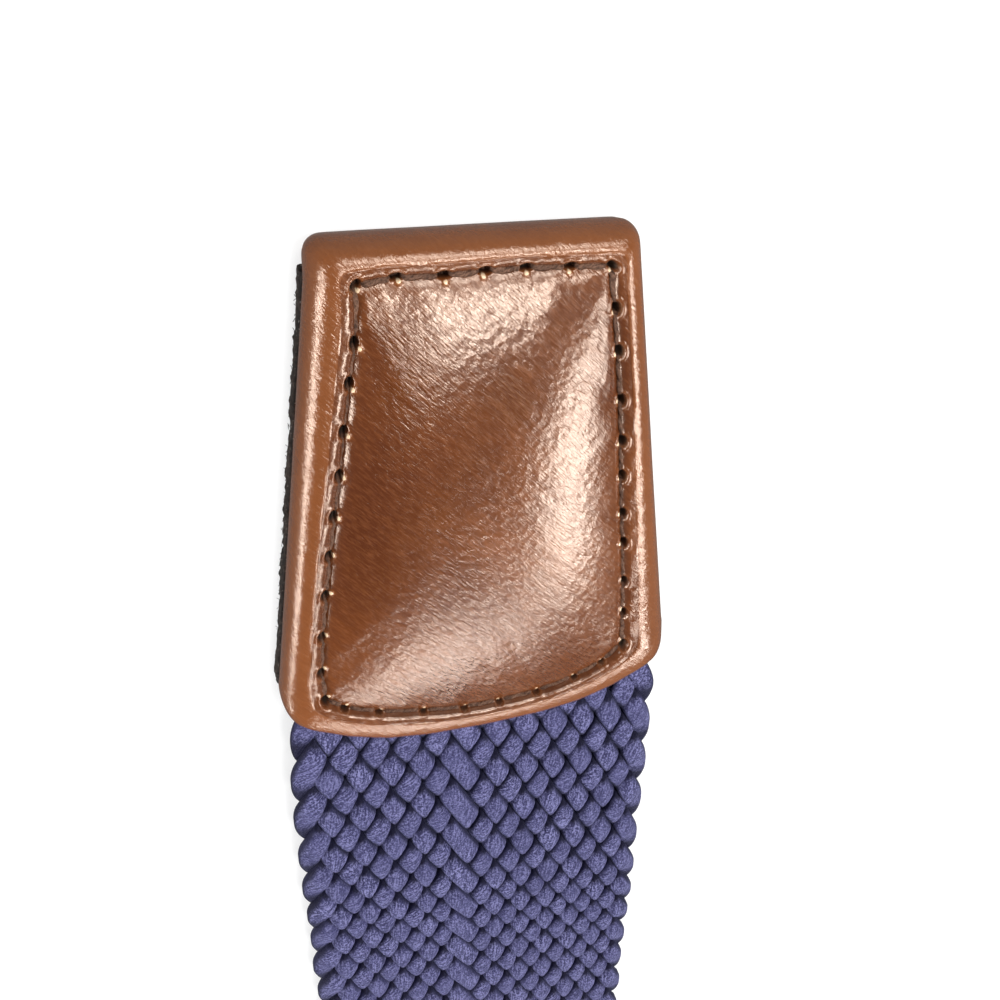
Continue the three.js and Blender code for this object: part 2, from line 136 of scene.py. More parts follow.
class Tubes:
    """Collects closed tubes of one section and turns them into one mesh."""

    def __init__(self):
        self.v, self.q, self.t, self.uv, self.tint, self.count = [], [], [], [], [], 0

    def add(self, centre, a, b, sides, tint=None, power=1.0, up=(0, 0, 1), v0=0.0, lift=None):
        """lift(lateral) gives each ring point's own height in mm from how far it stands to the side."""
        c = np.asarray(centre, float)
        m = len(c)
        tan = np.gradient(c, axis=0)
        step = np.linalg.norm(tan, axis=1, keepdims=True)
        tan /= step
        side = np.cross(tan, np.broadcast_to(np.asarray(up, float), tan.shape))
        side /= np.linalg.norm(side, axis=1, keepdims=True)
        top = np.cross(side, tan)
        th = -math.pi / 2 + 2 * math.pi * np.arange(sides) / sides
        cs, sn = np.cos(th), np.sin(th)
        cs, sn = np.sign(cs) * np.abs(cs) ** power, np.sign(sn) * np.abs(sn) ** power
        a = np.broadcast_to(np.asarray(a, float), (m,))
        b = np.broadcast_to(np.asarray(b, float), (m,))
        ring = c[:, None] + side[:, None] * (a[:, None] * cs)[..., None] + top[:, None] * (b[:, None] * sn)[..., None]
        if lift is not None:
            ring[..., 2] += lift(a[:, None] * cs)
        base = self.count
        self.v += [ring.reshape(-1, 3), c[:1], c[-1:]]
        self.q.append(ring_faces(m, sides, base)[:, ::-1])
        j = np.arange(sides)
        k0, k1 = base + m * sides, base + m * sides + 1
        self.t.append(np.stack([np.full(sides, k0), base + j, base + (j + 1) % sides], -1))
        e = base + (m - 1) * sides
        self.t.append(np.stack([np.full(sides, k1), e + (j + 1) % sides, e + j], -1))
        girth = 2 * math.pi * math.sqrt((a.mean() ** 2 + b.mean() ** 2) / 2)
        run = np.concatenate([[0], np.cumsum(np.linalg.norm(np.diff(c, axis=0), axis=1))]) + v0
        u = girth * np.arange(sides + 1) / sides
        uu, vv = np.meshgrid(u, run)
        g = np.stack([uu, vv], -1)
        quad = np.stack([g[:-1, :-1], g[:-1, 1:], g[1:, 1:], g[1:, :-1]], 2)[:, :, ::-1]
        self.uv.append(quad.reshape(-1, 2))
        t = np.zeros((m, sides, 3)) if tint is None else np.broadcast_to(np.asarray(tint, float)[:, None], (m, sides, 3)).copy()
        # third channel: how far round to the side of the section; the cord material paints shade on the flanks from it
        t[..., 2] = np.abs(cs)
        self.tint += [t.reshape(-1, 3), t[0, :1], t[-1, :1]]
        self.count += m * sides + 2

    def mesh(self, name):
        return new_mesh(name, np.concatenate(self.v), np.concatenate(self.q), np.concatenate(self.t),
                        uv=np.concatenate(self.uv), tint=np.concatenate(self.tint))


# ---------------------------------------------------------------- materials
def material(name):
    m = bpy.data.materials.new(name)
    m.use_nodes = True
    nt = m.node_tree
    return m, nt, nt.nodes["Principled BSDF"], nt.nodes["Material Output"]


def node(nt, kind, **values):
    n = nt.nodes.new(kind)
    for k, v in values.items():
        if k in n.inputs:
            n.inputs[k].default_value = v
        else:
            setattr(n, k, v)
    return n


def mapped(nt, source, scale, rotation=(0, 0, 0)):
    """Turns the coordinates, then scales them along the turned axes."""
    if any(rotation):
        r = node(nt, "ShaderNodeMapping")
        r.inputs["Rotation"].default_value = rotation
        nt.links.new(source, r.inputs["Vector"])
        source = r.outputs["Vector"]
    m = node(nt, "ShaderNodeMapping")
    m.inputs["Scale"].default_value = scale
    nt.links.new(source, m.inputs["Vector"])
    return m.outputs["Vector"]


def noise(nt, vector, scale, detail=3.0, rough=0.55, distortion=0.0):
    n = node(nt, "ShaderNodeTexNoise")
    n.inputs["Scale"].default_value = scale
    n.inputs["Detail"].default_value = detail
    n.inputs["Roughness"].default_value = rough
    n.inputs["Distortion"].default_value = distortion
    nt.links.new(vector, n.inputs["Vector"])
    return n.outputs["Fac"]


def ramp(nt, fac, *stops):
    r = node(nt, "ShaderNodeValToRGB")
    el = r.color_ramp.elements
    while len(el) < len(stops):
        el.new(0.5)
    for e, (pos, col) in zip(el, stops):
        e.position = pos
        e.color = (*col, 1) if len(col) == 3 else col
    nt.links.new(fac, r.inputs["Fac"])
    return r.outputs["Color"]


def spread(nt, fac, lo, hi, to0=0.0, to1=1.0):
    m = node(nt, "ShaderNodeMapRange")
    for k, v in zip(("From Min", "From Max", "To Min", "To Max"), (lo, hi, to0, to1)):
        m.inputs[k].default_value = v
    nt.links.new(fac, m.inputs["Value"])
    return m.outputs["Result"]


def mix(nt, fac, a, b, mode="MIX"):
    m = node(nt, "ShaderNodeMix", data_type="RGBA", blend_type=mode)
    for sock, v in ((m.inputs[0], fac), (m.inputs[6], a), (m.inputs[7], b)):
        if isinstance(v, bpy.types.NodeSocket):
            nt.links.new(v, sock)
        else:
            sock.default_value = v if isinstance(v, float) else (*v, 1)
    return m.outputs[2]


def maths(nt, op, a, b):
    m = node(nt, "ShaderNodeMath", operation=op)
    for sock, v in ((m.inputs[0], a), (m.inputs[1], b)):
        if isinstance(v, bpy.types.NodeSocket):
            nt.links.new(v, sock)
        else:
            sock.default_value = v
    return m.outputs[0]


def bump(nt, height, distance, strength=1.0, normal=None):
    b = node(nt, "ShaderNodeBump")
    b.inputs["Distance"].default_value = distance
    b.inputs["Strength"].default_value = strength
    nt.links.new(height, b.inputs["Height"])
    if normal is not None:
        nt.links.new(normal, b.inputs["Normal"])
    return b.outputs["Normal"]


def leather_material(name, turn, shine=1.0):
    """Waxed copper-brown leather. turn is the direction of its creases in plan, in radians; shine is how much wax it has."""
    m, nt, bsdf, out = material(name)
    co = node(nt, "ShaderNodeTexCoord").outputs["Object"]
    tint = node(nt, "ShaderNodeVertexColor", layer_name="tint").outputs["Color"]
    parts = node(nt, "ShaderNodeSeparateColor")
    nt.links.new(tint, parts.inputs["Color"])
    # the tint's channels carry painted light: shade in the needle holes, shade along the stitched groove, and highlight
    # on the rim and hole lips, with glints where the third goes above 1
    painted_hole_shade, groove, edge = parts.outputs[0], parts.outputs[1], parts.outputs[2]
    # creases: long along the streak direction, narrow across it
    streak = mapped(nt, co, (620, 2500, 900), (0, 0, -turn))
    fine = mapped(nt, co, (1150, 6800, 2500), (0, 0, -turn))
    cloud = noise(nt, co, 95, 3, 0.5)
    s1 = noise(nt, streak, 1.0, 4, 0.62, 0.6)
    s2 = noise(nt, fine, 1.0, 3, 0.6, 0.3)
    grain = noise(nt, co, 2600, 3, 0.6)
    wrinkle = noise(nt, mapped(nt, co, (800, 1500, 900), (0, 0, -turn)), 1.0, 2, 0.5, 0.9)
    pores = node(nt, "ShaderNodeTexVoronoi")
    pores.inputs["Scale"].default_value = 1500
    nt.links.new(co, pores.inputs["Vector"])
    base = ramp(nt, cloud, (0.30, (0.072, 0.0165, 0.0038)), (0.52, (0.106, 0.0275, 0.0063)), (0.72, (0.148, 0.0415, 0.0098)))
    base = mix(nt, spread(nt, s2, 0.44, 0.68, 0.0, 0.4), base, (0.205, 0.064, 0.018))
    base = mix(nt, spread(nt, s1, 0.60, 0.36, 0.0, 0.45), base, (0.072, 0.017, 0.005))
    # painted shade: darker along the stitched groove, from the tint's second channel
    base = mix(nt, maths(nt, "MULTIPLY", groove, 0.40), base, (0.060, 0.022, 0.012))
    # painted highlight: lighter orange on the rolled rim and on the lips round the holes, from the tint's third channel
    base = mix(nt, spread(nt, edge, 0.0, 1.0, 0.0, 0.5), base, (0.27, 0.090, 0.028))
    # painted glint: cream spots on the burrs beside the holes, where the third channel goes above 1
    base = mix(nt, spread(nt, edge, 1.05, 1.45), base, (0.75, 0.56, 0.36))
    # painted shade: near black in the needle holes, from the tint's first channel
    base = mix(nt, painted_hole_shade, base, (0.004, 0.002, 0.0015))
    nt.links.new(base, bsdf.inputs["Base Color"])
    dull = 0.30 * (1 - shine)
    rough = maths(nt, "ADD", spread(nt, s2, 0.3, 0.7, 0.16 + dull, 0.27 + dull), maths(nt, "MULTIPLY", painted_hole_shade, 0.4))
    nt.links.new(rough, bsdf.inputs["Roughness"])
    h = maths(nt, "ADD", maths(nt, "ADD", maths(nt, "MULTIPLY", s1, 0.55), maths(nt, "MULTIPLY", s2, 1.0)), maths(nt, "MULTIPLY", wrinkle, 0.14))
    h = maths(nt, "MULTIPLY", h, maths(nt, "ADD", maths(nt, "MULTIPLY", edge, 0.35), 1.0))
    nrm = bump(nt, h, 0.000035, 1.0)
    h2 = maths(nt, "ADD", maths(nt, "MULTIPLY", grain, 0.7), pores.outputs["Distance"])
    nrm = bump(nt, h2, 0.00002, 1.0, nrm)
    nt.links.new(nrm, bsdf.inputs["Normal"])
    nt.links.new(nrm, bsdf.inputs["Coat Normal"])
    bsdf.inputs["Specular IOR Level"].default_value = 1.0 * shine
    bsdf.inputs["Specular Tint"].default_value = (1.0, 0.78, 0.62, 1)
    bsdf.inputs["Coat Weight"].default_value = 0.22 * shine
    bsdf.inputs["Coat Roughness"].default_value = 0.18
    return m


def cord_material():
    """Slack-twisted polyester cord: fine filaments that run slanting round it."""
    m, nt, bsdf, out = material("braid_cord")
    uv = node(nt, "ShaderNodeUVMap", uv_map="UVMap").outputs["UV"]
    co = node(nt, "ShaderNodeTexCoord").outputs["Object"]
    tint = node(nt, "ShaderNodeVertexColor", layer_name="tint").outputs["Color"]
    parts = node(nt, "ShaderNodeSeparateColor")
    nt.links.new(tint, parts.inputs["Color"])
    deep, shade, painted_flank_shade = parts.outputs[0], parts.outputs[1], parts.outputs[2]
    turned = mapped(nt, uv, (1, 1, 1), (0, 0, math.radians(-32)))
    f1 = noise(nt, mapped(nt, turned, (7.5, 0.55, 1)), 1.0, 2, 0.6, 0.15)
    f2 = noise(nt, mapped(nt, turned, (15.0, 1.3, 1)), 1.0, 2, 0.6)
    cloud = noise(nt, co, 420, 3, 0.55)
    fuzz = noise(nt, co, 5200, 3, 0.65)
    both = maths(nt, "ADD", maths(nt, "MULTIPLY", f1, 0.38), maths(nt, "MULTIPLY", fuzz, 0.62))
    base = ramp(nt, both, (0.43, (0.013, 0.012, 0.047)), (0.50, (0.055, 0.054, 0.140)), (0.57, (0.190, 0.188, 0.365)))
    base = mix(nt, spread(nt, cloud, 0.35, 0.7, 0.0, 0.35), base, (0.062, 0.061, 0.152))
    # painted shade: the flanks of each cord, where it meets its neighbours, go near black
    base = mix(nt, spread(nt, painted_flank_shade, 0.72, 0.94, 0.0, 0.97), base, (0.004, 0.0035, 0.020))
    base = mix(nt, spread(nt, shade, 0.0, 1.0, 0.0, 0.35), base, (0.046, 0.045, 0.120))
    # painted shade: near black where a cord passes under the crossing cords
    base = mix(nt, maths(nt, "MULTIPLY", deep, 0.93), base, (0.003, 0.0025, 0.016))
    nt.links.new(base, bsdf.inputs["Base Color"])
    h = maths(nt, "ADD", maths(nt, "ADD", f1, maths(nt, "MULTIPLY", f2, 0.5)), maths(nt, "MULTIPLY", fuzz, 1.1))
    nt.links.new(bump(nt, h, 0.00010, 1.0), bsdf.inputs["Normal"])
    bsdf.inputs["Roughness"].default_value = 0.62
    bsdf.inputs["Specular IOR Level"].default_value = 0.15
    bsdf.inputs["Sheen Weight"].default_value = 0.07
    bsdf.inputs["Sheen Roughness"].default_value = 0.4
    bsdf.inputs["Sheen Tint"].default_value = (0.6, 0.62, 1.0, 1)
    return m


def thread_material():
    m, nt, bsdf, out = material("stitch_thread")
    uv = node(nt, "ShaderNodeUVMap", uv_map="UVMap").outputs["UV"]
    co = node(nt, "ShaderNodeTexCoord").outputs["Object"]
    f1 = noise(nt, mapped(nt, uv, (9, 3, 1), (0, 0, 0.6)), 1.0, 2, 0.6)
    cloud = noise(nt, co, 900, 2, 0.5)
    base = ramp(nt, maths(nt, "ADD", maths(nt, "MULTIPLY", f1, 0.5), maths(nt, "MULTIPLY", noise(nt, co, 4200, 3, 0.65), 0.5)), (0.40, (0.046, 0.023, 0.015)), (0.60, (0.180, 0.096, 0.063)))
    base = mix(nt, spread(nt, cloud, 0.4, 0.7, 0.0, 0.5), base, (0.055, 0.028, 0.020))
    nt.links.new(base, bsdf.inputs["Base Color"])
    nt.links.new(bump(nt, f1, 0.00010, 1.0), bsdf.inputs["Normal"])
    bsdf.inputs["Roughness"].default_value = 0.6
    bsdf.inputs["Specular IOR Level"].default_value = 0.1
    return m


def backing_material():
    m, nt, bsdf, out = material("backing_edge")
    co = node(nt, "ShaderNodeTexCoord").outputs["Object"]
    fib = noise(nt, mapped(nt, co, (900, 900, 3200)), 1.0, 4, 0.7, 0.8)
    speck = noise(nt, co, 5200, 2, 0.6)
    base = ramp(nt, fib, (0.36, (0.006, 0.004, 0.003)), (0.56, (0.030, 0.019, 0.014)), (0.72, (0.075, 0.052, 0.042)))
    base = mix(nt, spread(nt, speck, 0.66, 0.74, 0.0, 0.85), base, (0.42, 0.36, 0.33))
    nt.links.new(base, bsdf.inputs["Base Color"])
    nt.links.new(bump(nt, fib, 0.00035, 1.0), bsdf.inputs["Normal"])
    bsdf.inputs["Roughness"].default_value = 0.85
    return m


def metal_material():
    m, nt, bsdf, out = material("brushed_steel")
    co = node(nt, "ShaderNodeTexCoord").outputs["Object"]
    lines = noise(nt, mapped(nt, co, (300, 4200, 4200), (0, 0, math.radians(30))), 1.0, 3, 0.6)
    cloud = noise(nt, co, 60, 3, 0.5)
    base = ramp(nt, cloud, (0.35, (0.50, 0.48, 0.45)), (0.65, (0.62, 0.60, 0.57)))
    nt.links.new(base, bsdf.inputs["Base Color"])
    nt.links.new(spread(nt, lines, 0.3, 0.7, 0.18, 0.30), bsdf.inputs["Roughness"])
    nt.links.new(bump(nt, lines, 0.000003, 1.0), bsdf.inputs["Normal"])
    bsdf.inputs["Metallic"].default_value = 1.0
    return m


# ---------------------------------------------------------------- tip leather: plan curves
TIP_LEN, TIP_HALF, TIP_FLARE = 42.75, 11.7, 0.1575
# base edge: across as a share of the half width, back as a share of the bow
EDGE_ACROSS = [0.0, 0.30, 0.50, 0.70, 0.85, 1.0]
EDGE_BACK = [0.0, 0.04, 0.16, 0.42, 0.72, 1.15]
# needle holes (s, w), once round from the tip end
HOLES = np.array([
    (2.37, 0.05), (2.48, 2.92), (2.39, 6.13), (2.75, 8.85), (6.64, 9.20), (9.45, 9.76), (12.97, 10.42), (16.37, 10.98),
    (19.66, 11.66), (23.00, 12.27), (26.49, 12.86), (30.34, 13.46), (33.86, 13.83), (36.75, 13.75), (38.02, 12.21),
    (39.11, 9.40), (39.95, 5.60), (40.50, 1.99), (40.53, -1.21), (40.25, -4.66), (39.39, -8.22), (38.25, -10.77),
    (36.60, -12.72), (33.14, -12.50), (29.77, -12.28), (25.81, -11.92), (22.96, -11.62), (19.48, -11.27),
    (16.37, -11.05), (12.91, -10.70), (8.96, -10.18), (5.74, -9.72), (2.60, -9.15), (2.45, -6.04), (2.34, -2.86),
])


def resample(pts, n):
    """n points evenly along an open polyline, the last one left off."""
    d = np.concatenate([[0], np.cumsum(np.linalg.norm(np.diff(pts, axis=0), axis=1))])
    q = np.arange(n) / n * d[-1]
    return np.stack([np.interp(q, d, pts[:, k]) for k in range(2)], -1)


def soften(loop, steps, width):
    """Gaussian smoothing of a closed loop of evenly spaced points."""
    k = np.arange(-width, width + 1)
    g = np.exp(-(k / (width / 2.5)) ** 2)
    g /= g.sum()
    for _ in range(steps):
        loop = sum(np.roll(loop, -int(i), axis=0) * wgt for i, wgt in zip(k, g))
    return loop


def half_width(s):
    return TIP_HALF + TIP_FLARE * s


def base_edge(w):
    return TIP_LEN - 3.9 * np.interp(np.abs(w) / half_width(36.2), EDGE_ACROSS, EDGE_BACK)


def tip_curves(n_tip=150, n_side=240, n_base=230):
    """The leather's outline and its stitched groove, matched point by point: tip end, +w side, base, -w side."""
    c, b, s1 = 1.35, 3.4, 36.2
    corner = math.atan(TIP_FLARE)

    def arc(cs, cw, r, a0, a1, k=24):
        a = np.linspace(a0, a1, k)
        return np.stack([cs + r * np.cos(a), cw + r * np.sin(a)], -1)

    tip_arc = arc(c, half_width(c) - c * 1.02, c, math.pi, math.pi / 2 + corner)
    side = np.stack([np.linspace(c + 0.6, s1 - 0.6, 40), half_width(np.linspace(c + 0.6, s1 - 0.6, 40))], -1)
    base_arc = arc(s1, half_width(s1) - b, b, math.pi / 2 + corner, math.radians(28))
    w_end, s_end = base_arc[-1, 1], base_arc[-1, 0]
    w = np.linspace(w_end, 0, 60)[1:]
    fix = s_end - base_edge(w_end)
    base = np.stack([base_edge(w) + fix * smooth((w / w_end - 0.6) / 0.4), w], -1)
    half = [np.array([[0.0, 0.0], [0.0, half_width(c) - c * 1.02]]), tip_arc, side, base_arc, base]
    upper = np.concatenate(half)
    lower = upper[::-1] * [1, -1]
    # corner marks: middle of the tip arc and of the base arc
    i1 = 2 + 12
    i2 = 2 + 24 + 40 + 12
    segs_o = [np.concatenate([lower[-1 - i1:], upper[1:i1 + 1]]), upper[i1:i2 + 1],
              np.concatenate([upper[i2:], lower[1:len(lower) - i2]]), lower[len(lower) - 1 - i2:len(lower) - i1]]
    g = HOLES
    c1, c2, c3, c4 = 3, 13, 22, 32
    segs_g = [np.concatenate([g[c4:], g[:c1 + 1]]), g[c1:c2 + 1], g[c2:c3 + 1], g[c3:c4 + 1]]
    counts = [n_tip, n_side, n_base, n_side]
    out_o = np.concatenate([resample(p, k) for p, k in zip(segs_o, counts)])
    out_g = np.concatenate([resample(p, k) for p, k in zip(segs_g, counts)])
    return soften(out_o, 1, 4), soften(out_g, 2, 5)


OUT, GRV = tip_curves()
NC = len(OUT)
# stretch of the strap inside and just outside the tip leather
ROW_S = [5, 10, 20, 32, 39, 44, 50, 60]
ROW_HALF = [10.9, 11.7, 13.3, 15.2, 16.2, 17.1, 17.5, 17.75]
ROW_LOW = [1.5, 1.5, 1.5, 1.5, 1.5, 1.45, 0.7, 0.0]
ROW_HIGH = [2.3, 2.4, 2.5, 2.6, 3.0, 3.9, 4.0, 3.6]
ROW_CROWN = [0.5, 1.6, 2.2, 1.9, 0.9, 0.3, 0.0, 0.0]


def strap_top(s, w):
    q = np.clip(w / np.interp(s, ROW_S, ROW_HALF), -1, 1)
    return np.interp(s, ROW_S, ROW_HIGH) + np.interp(s, ROW_S, ROW_CROWN) * (1 - q * q)


RIM_TOP, GROOVE_Z, PAD_Z = 5.0, 4.5, 6.4


def pad_height(s, w):
    """The padded middle: 0 on the stitches, 1 in the middle."""
    s0 = 2.5
    s1 = 40.6 - 2.4 * (w / 13.5) ** 2
    v = (s - s0) / (s1 - s0) * 2 - 1
    left = 8.75 + 0.153 * s
    rightw = 9.05 + 0.112 * s
    u = np.where(w > 0, w / left, w / rightw)
    f = lambda x, p: 1 - np.clip(np.abs(x), 0, 1) ** p
    return f(u, 2.5) ** 0.92 * f(v, 3.0) ** 0.92


def near(points, targets):
    """Distance from every point to its nearest target, and which one."""
    best = np.full(len(points), 1e9)
    which = np.zeros(len(points), int)
    for k, t in enumerate(targets):
        d = (points[:, 0] - t[0]) ** 2 + (points[:, 1] - t[1]) ** 2
        m = d < best
        best[m], which[m] = d[m], k
    return np.sqrt(best), which


def tip_leather():
    # share of the way from outline to groove, fine near the groove
    f_rim = 2.2 / 3.3 * (1 - np.cos(np.radians(np.linspace(3, 90, 19))))
    f_flat = np.concatenate([np.linspace(2.2 / 3.3, 1.0, 14)[1:]])
    t_in = np.concatenate([np.linspace(0, 0.09, 12)[1:], np.linspace(0.09, 0.30, 9)[1:], np.linspace(0.30, 0.985, 26)[1:]])
    s_o = OUT[:, 0]
    to_base = smooth((s_o - 36.0) / 3.6)
    to_tip = 1 - smooth((s_o - 0.6) / 2.2)
    z_low = 1.75 + (4.18 - 1.75) * to_base - 1.55 * to_tip
    z_mid = 2.55 + (4.62 - 2.55) * to_base - 0.65 * to_tip
    rim = RIM_TOP + 0.22 * to_base
    inward = 0.18 * (1 - to_base) * (1 - to_tip)     # the leather's edge stands a little inside the backing's
    d_og = np.linalg.norm(GRV - OUT, axis=1)
    rows, tints = [], []

    def row(f, z, tint=(0, 0, 0)):
        f = np.asarray(f)
        p = OUT + (GRV - OUT) * (f + inward / d_og)[:, None]
        rows.append(np.column_stack([p, z]))
        tints.append(np.broadcast_to(tint, (NC, 3)))

    one = np.ones(NC)
    centre = np.array([21.5, 0.0])
    # underside, from the middle to the lower edge
    for t in (0.97, 0.8, 0.6, 0.4, 0.2, 0.05):
        p = GRV + (centre - GRV) * t
        z = np.clip(strap_top(p[:, 0], p[:, 1]) + 0.3, None, 4.6)
        rows.append(np.column_stack([p, np.maximum(z, 1.9)]))
        tints.append(np.zeros((NC, 3)))
    row(0.62 * one, np.maximum(np.minimum(strap_top(OUT[:, 0], OUT[:, 1]) + 0.25, 4.2), z_low + 0.05))
    row(0.36 * one, z_low + 0.03)
    # the third tint channel paints highlight on the lower side wall and along the rolled rim, by the rim's profile
    # angle
    for b in (90, 65, 40, 20):
        row(0.11 * (1 - math.cos(math.radians(b))) * one + 0.02, z_mid - (z_mid - z_low) * math.sin(math.radians(b)), (0, 0, 0.5))
    row(0.02 * one * 0, z_mid, (0, 0, 0.6))
    for f in f_rim:
        a = np.arccos(1 - f / (2.2 / 3.3))
        row(f * one, z_mid + (rim - z_mid) * np.sin(a), (0, 0, 1 - abs(float(np.sin(a)) - 0.8)))
    first_top = len(rows)
    for f in f_flat:
        k = (f - 2.2 / 3.3) / (1 - 2.2 / 3.3)
        row(f * one, rim - (rim - GROOVE_Z) * k ** 7)
    for t in t_in:
        p = GRV + (centre - GRV) * t
        h = pad_height(p[:, 0], p[:, 1])
        rows.append(np.column_stack([p, GROOVE_Z + (PAD_Z - GROOVE_Z) * h]))
        tints.append(np.zeros((NC, 3)))
    pts = np.concatenate(rows)
    tint = np.concatenate(tints).copy()
    top = np.arange(len(pts)) >= first_top * NC
    # stitched groove, needle holes and the puckers round them
    sel = np.where(top)[0]
    p = pts[sel, :2]
    d_g, _ = near(p, GRV[::2])
    sel, p, d_g = sel[d_g < 3], p[d_g < 3], d_g[d_g < 3]
    d_h, k_h = near(p, HOLES)
    rel = p - HOLES[k_h]
    seam = np.roll(HOLES, -1, axis=0) - np.roll(HOLES, 1, axis=0)
    seam /= np.linalg.norm(seam, axis=1, keepdims=True)
    seam = seam[k_h]
    oval = np.hypot((rel * seam).sum(1) / 0.42, (rel[:, 0] * seam[:, 1] - rel[:, 1] * seam[:, 0]) / 0.25)
    on_base = smooth((p[:, 0] - 37.0) / 1.5)
    pts[sel, 2] -= 0.20 * np.exp(-(d_g / 0.40) ** 2) * (1 - 0.25 * on_base)
    oval /= 1 - 0.38 * on_base
    deep = np.array([1.0 + 0.25 * math.sin(3.1 * k) for k in range(len(HOLES))])[k_h]
    pts[sel, 2] -= deep * 0.95 * np.exp(-oval ** 4)
    pts[sel, 2] += 0.08 * np.exp(-((oval - 1.65) / 0.45) ** 2) - 0.05 * np.exp(-(d_h / 1.5) ** 2)
    # small burr on one side of each hole
    burr = HOLES + (np.array([21.5, 0.0]) - HOLES) / np.linalg.norm(HOLES - [21.5, 0.0], axis=1, keepdims=True) * 0.40
    burr += rng.normal(0, 0.10, burr.shape)
    d_b = np.linalg.norm(p - burr[k_h], axis=1)
    pts[sel, 2] += 0.13 * (1 - 0.6 * on_base) * np.exp(-(d_b / 0.20) ** 2)
    # pulls across the seam between the holes
    pts[sel, 2] += 0.02 * np.exp(-((d_g - 0.9) / 0.5) ** 2) * np.cos(np.clip(d_h, 0, 1.75) / 1.75 * math.pi) * -1
    # painted light in the tint: shade in the holes (first channel), highlight on the hole lips and a cream glint on
    # each burr (third), shade along the groove (second)
    tint[sel, 0] = np.maximum(tint[sel, 0], smooth((1.22 - oval) / 0.35))
    tint[sel, 2] = np.maximum(tint[sel, 2], 0.55 * np.exp(-((oval - 1.6) / 0.35) ** 2) + 1.9 * np.exp(-(d_b / 0.20) ** 2))
    tint[sel, 1] = np.exp(-(d_g / 0.36) ** 2)
    # soft creases on the padded middle
    allp = pts[:, :2]
    crease = np.zeros(len(pts))
    for _ in range(26):
        c = np.array([rng.uniform(6, 38), rng.uniform(-11, -1) if rng.random() < 0.7 else rng.uniform(-1, 11)])
        ang = math.radians(rng.normal(45, 14))
        d = np.array([math.cos(ang), -math.sin(ang)])
        rel = allp - c
        along, across = rel @ d, rel @ np.array([-d[1], d[0]])
        crease += rng.uniform(-0.06, 0.035) * np.exp(-(along / rng.uniform(2.0, 5.0)) ** 2 - (across / rng.uniform(0.35, 0.8)) ** 2)
    keep = smooth((pad_height(pts[:, 0], pts[:, 1]) - 0.05) / 0.35)
    pts[top, 2] += (crease * keep)[top]
    # slight unevenness of the rolled rim
    ang = np.arange(NC) / NC * 2 * math.pi
    wob = sum(rng.uniform(0.01, 0.03) * np.sin(k * ang + rng.uniform(0, 6.3)) for k in (3, 5, 8, 13, 21, 34))
    rim_part = np.tile(wob, len(rows)) * np.exp(-((pts[:, 2] - 4.8) / 0.8) ** 2)
    pts[:, 2] += np.where(top, rim_part * 0.6, 0)
    n_rows = len(rows)
    mid = np.array([[21.5, 0, pts[(n_rows - 1) * NC:, 2].mean()], [21.5, 0, pts[:NC, 2].mean()]])
    quads = ring_faces(n_rows, NC)
    j = np.arange(NC)
    e = (n_rows - 1) * NC
    hub = len(pts)
    tris = np.concatenate([np.stack([np.full(NC, hub), e + (j + 1) % NC, e + j], -1)[:, ::-1] * 1,
                           np.stack([np.full(NC, hub + 1), (j + 1) % NC, j], -1)])
    swz = np.concatenate([pts, mid])
    verts = place(swz[:, 0], swz[:, 1], swz[:, 2])
    return new_mesh("tip_leather_skin", verts, quads, tris, tint=np.concatenate([tint, np.zeros((2, 3))])), swz


def face_outward(ob):
    """Turns all faces out if the closed mesh's volume comes out negative."""
    me = ob.data
    n = len(me.vertices)
    co = np.zeros(n * 3)
    me.vertices.foreach_get("co", co)
    co = co.reshape(-1, 3)
    me.calc_loop_triangles()
    t = np.zeros(len(me.loop_triangles) * 3, np.int32)
    me.loop_triangles.foreach_get("vertices", t)
    t = t.reshape(-1, 3)
    c = co.mean(0)
    vol = np.einsum("ij,ij->i", co[t[:, 0]] - c, np.cross(co[t[:, 1]] - c, co[t[:, 2]] - c)).sum()
    if vol < 0:
        me.flip_normals()


def seam_stitches(name, holes, surface, put):
    """Two-ply thread from each needle hole to the next, lying in the groove and diving into both holes."""
    tubes = Tubes()
    n = len(holes)
    for k in range(n):
        a, b = holes[k], holes[(k + 1) % n]
        if np.linalg.norm(b - a) > 6:
            continue
        t = np.linspace(0, 1, 34)
        p = a + (b - a) * t[:, None]
        z0 = surface(p)
        reach = np.minimum(t, 1 - t) * np.linalg.norm(b - a)
        rise = smooth((reach - 0.28) / 0.36)
        z = z0 - 0.95 + 1.01 * rise
        length = np.linalg.norm(b - a)
        d = (b - a) / length
        n2 = np.array([-d[1], d[0]])
        for ply in (0, math.pi):
            ph = ply + t * length / 2.9 * 2 * math.pi + k
            r = 0.12
            q = p + n2 * (r * np.cos(ph))[:, None]
            tubes.add(put(q[:, 0], q[:, 1], z + 0.5 * r * np.sin(ph)), 0.235, 0.16, 8)
    return tubes.mesh(name)


# ---------------------------------------------------------------- tip: build
leather_mat = leather_material("leather_tip", math.radians(45))
tip_ob, tip_pts = tip_leather()
face_outward(tip_ob)
tip_ob.data.materials.append(leather_mat)
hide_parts("tip_leather")

thread_mat = thread_material()
st = seam_stitches("tip_stitches", HOLES, lambda p: np.full(len(p), GROOVE_Z - 0.12), place)
st.data.materials.append(thread_mat)


